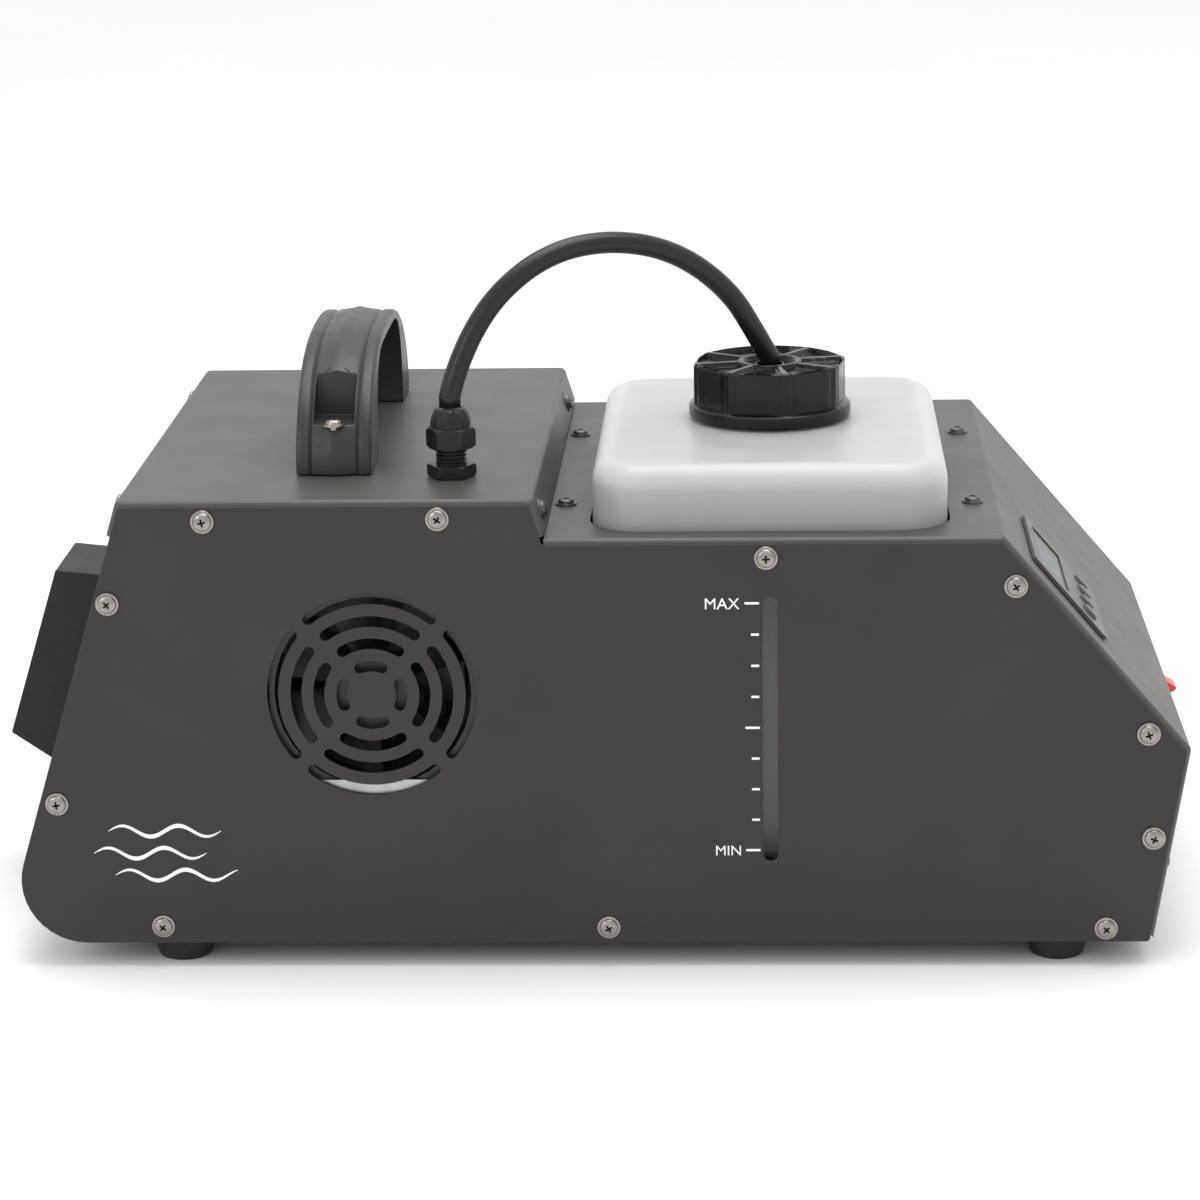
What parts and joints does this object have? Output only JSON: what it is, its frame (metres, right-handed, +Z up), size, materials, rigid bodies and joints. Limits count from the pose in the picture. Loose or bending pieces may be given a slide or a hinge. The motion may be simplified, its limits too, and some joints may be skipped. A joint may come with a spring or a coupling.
{
  "type": "fog machine",
  "caption": "Portable stage fog machine: folded sheet-metal case with a lift-out fluid tank, feed hose, heater, pump, fan, carrying handle and control panel.",
  "frame": {"origin": "centre of the object's footprint at the height of the surface that its feet stand on; y = 0 is the case's middle plane", "axes": "+Z up; +X from the fog outlet at the front towards the rear face with the mains inlet; the side with the fan grille and the level slot faces -Y"},
  "size_m": [0.4804, 0.2556, 0.2766],
  "materials": {
    "case_paint": "fine-textured charcoal powder coat",
    "cover_paint": "fine-textured charcoal powder coat, satin",
    "hood_paint": "matt black powder coat",
    "nickel_steel": "nickel-plated steel",
    "zinc_sheet": "zinc-plated sheet",
    "cast_alloy": "as-cast aluminium",
    "brass": "turned brass",
    "black_plastic": "matt black moulded plastic",
    "gloss_black_plastic": "glossy black moulded plastic",
    "overlay_film": "satin printed film in the case's grey",
    "handle_plastic": "satin dark grey moulded plastic",
    "black_nylon": "satin black nylon",
    "tank_plastic": "translucent natural polyethylene",
    "foot_rubber": "matt black rubber",
    "hose_rubber": "satin black rubber",
    "clear_tube": "milky flexible tube",
    "circuit_board": "green solder mask",
    "lcd_glass": "display glass",
    "switch_red": "glossy red translucent plastic",
    "button_plastic": "satin grey plastic"
  },
  "bodies": {
    "case": {"near_side_panel": "case_paint", "far_side_panel": "case_paint", "base_pan": "case_paint", "top_cover": "cover_paint", "deck_cover": "cover_paint", "outlet_hood": "hood_paint", "outlet_nozzle": "brass", "heater_block": "cast_alloy", "heater_shield": "zinc_sheet", "heater_bracket": "zinc_sheet", "thermostat": "black_plastic", "fan_frame": "black_plastic", "fan_bracket": "zinc_sheet", "pump_body": "black_plastic", "pump_end": "black_plastic", "pump_bracket": "zinc_sheet", "feed_hose": "hose_rubber", "suction_hose": "clear_tube", "delivery_tube": "clear_tube", "gland_body": "black_nylon", "gland_nut": "black_nylon", "gland_locknut": "black_nylon", "tank_shelf": "zinc_sheet", "handle": "handle_plastic", "control_board": "circuit_board", "lcd_module": "lcd_glass", "control_overlay": "overlay_film", "mains_board": "circuit_board", "mains_inlet": "black_plastic", "rocker_frame": "black_plastic", "xlr_in": "zinc_sheet", "xlr_out": "zinc_sheet", "foot_front_near": "foot_rubber", "foot_front_far": "foot_rubber", "foot_rear_near": "foot_rubber", "foot_rear_far": "foot_rubber", "panel_screw_01": "nickel_steel", "panel_screw_02": "nickel_steel", "panel_screw_03": "nickel_steel", "panel_screw_04": "nickel_steel", "panel_screw_05": "nickel_steel", "panel_screw_06": "nickel_steel", "panel_screw_07": "nickel_steel", "panel_screw_08": "nickel_steel", "panel_screw_09": "nickel_steel", "panel_screw_10": "nickel_steel", "panel_screw_11": "nickel_steel"},
    "tank_unit": {"tank": "tank_plastic", "pickup_tube": "clear_tube", "pickup_filter": "nickel_steel"},
    "cap_seal": {"cap_gasket": "foot_rubber"},
    "cap": {"tank_cap": "gloss_black_plastic"},
    "fan": {"fan_rotor": "black_plastic"},
    "power_rocker": {"rocker": "switch_red"},
    "plunger": {"pump_plunger": "nickel_steel"},
    "fuse_holder": {"fuse_drawer": "black_plastic"},
    "key_menu": {"button_menu": "button_plastic"},
    "key_up": {"button_up": "button_plastic"},
    "key_down": {"button_down": "button_plastic"},
    "key_enter": {"button_enter": "button_plastic"}
  },
  "joints": [
    {"name": "tank_lift", "type": "slide", "parent": "case", "child": "tank_unit", "axis": [0, 0, 1], "range_m": [0, 0.14], "deforming": ["feed_hose"]},
    {"name": "cap_rise", "type": "slide", "parent": "tank_unit", "child": "cap_seal", "axis": [0, 0, 1], "range_m": [0, 0.009]},
    {"name": "cap_turn", "type": "hinge", "parent": "cap_seal", "child": "cap", "pos_m": [0.0746, -0.0205, 0.205], "axis": [0, 0, 1], "range_deg": [0, 540]},
    {"name": "fan_spin", "type": "hinge", "parent": "case", "child": "fan", "pos_m": [-0.0784, -0.1114, 0.1107], "axis": [0, -1, 0], "continuous": true},
    {"name": "rocker_tilt", "type": "hinge", "parent": "case", "child": "power_rocker", "pos_m": [0.233, 0.01, 0.06892], "axis": [0, 1, 0], "range_deg": [-28, 0]},
    {"name": "plunger_stroke", "type": "slide", "parent": "case", "child": "plunger", "axis": [1, 0, 0], "range_m": [-0.003, 0.003], "stiffness_N_per_m": 800},
    {"name": "fuse_drawer_slide", "type": "slide", "parent": "case", "child": "fuse_holder", "axis": [0.986, 0, -0.1667], "range_m": [0, 0.018]},
    {"name": "button_menu_press", "type": "slide", "parent": "case", "child": "key_menu", "axis": [-0.7593, 0, -0.6507], "range_m": [0, 0.0008], "stiffness_N_per_m": 500, "springref_m": -0.0004},
    {"name": "button_up_press", "type": "slide", "parent": "case", "child": "key_up", "axis": [-0.7593, 0, -0.6507], "range_m": [0, 0.0008], "stiffness_N_per_m": 500, "springref_m": -0.0004},
    {"name": "button_down_press", "type": "slide", "parent": "case", "child": "key_down", "axis": [-0.7593, 0, -0.6507], "range_m": [0, 0.0008], "stiffness_N_per_m": 500, "springref_m": -0.0004},
    {"name": "button_enter_press", "type": "slide", "parent": "case", "child": "key_enter", "axis": [-0.7593, 0, -0.6507], "range_m": [0, 0.0008], "stiffness_N_per_m": 500, "springref_m": -0.0004}
  ],
  "couplings": [
    {"joint": "cap_rise", "follows": "cap_turn", "m_per_rad": 0.00095493}
  ]
}
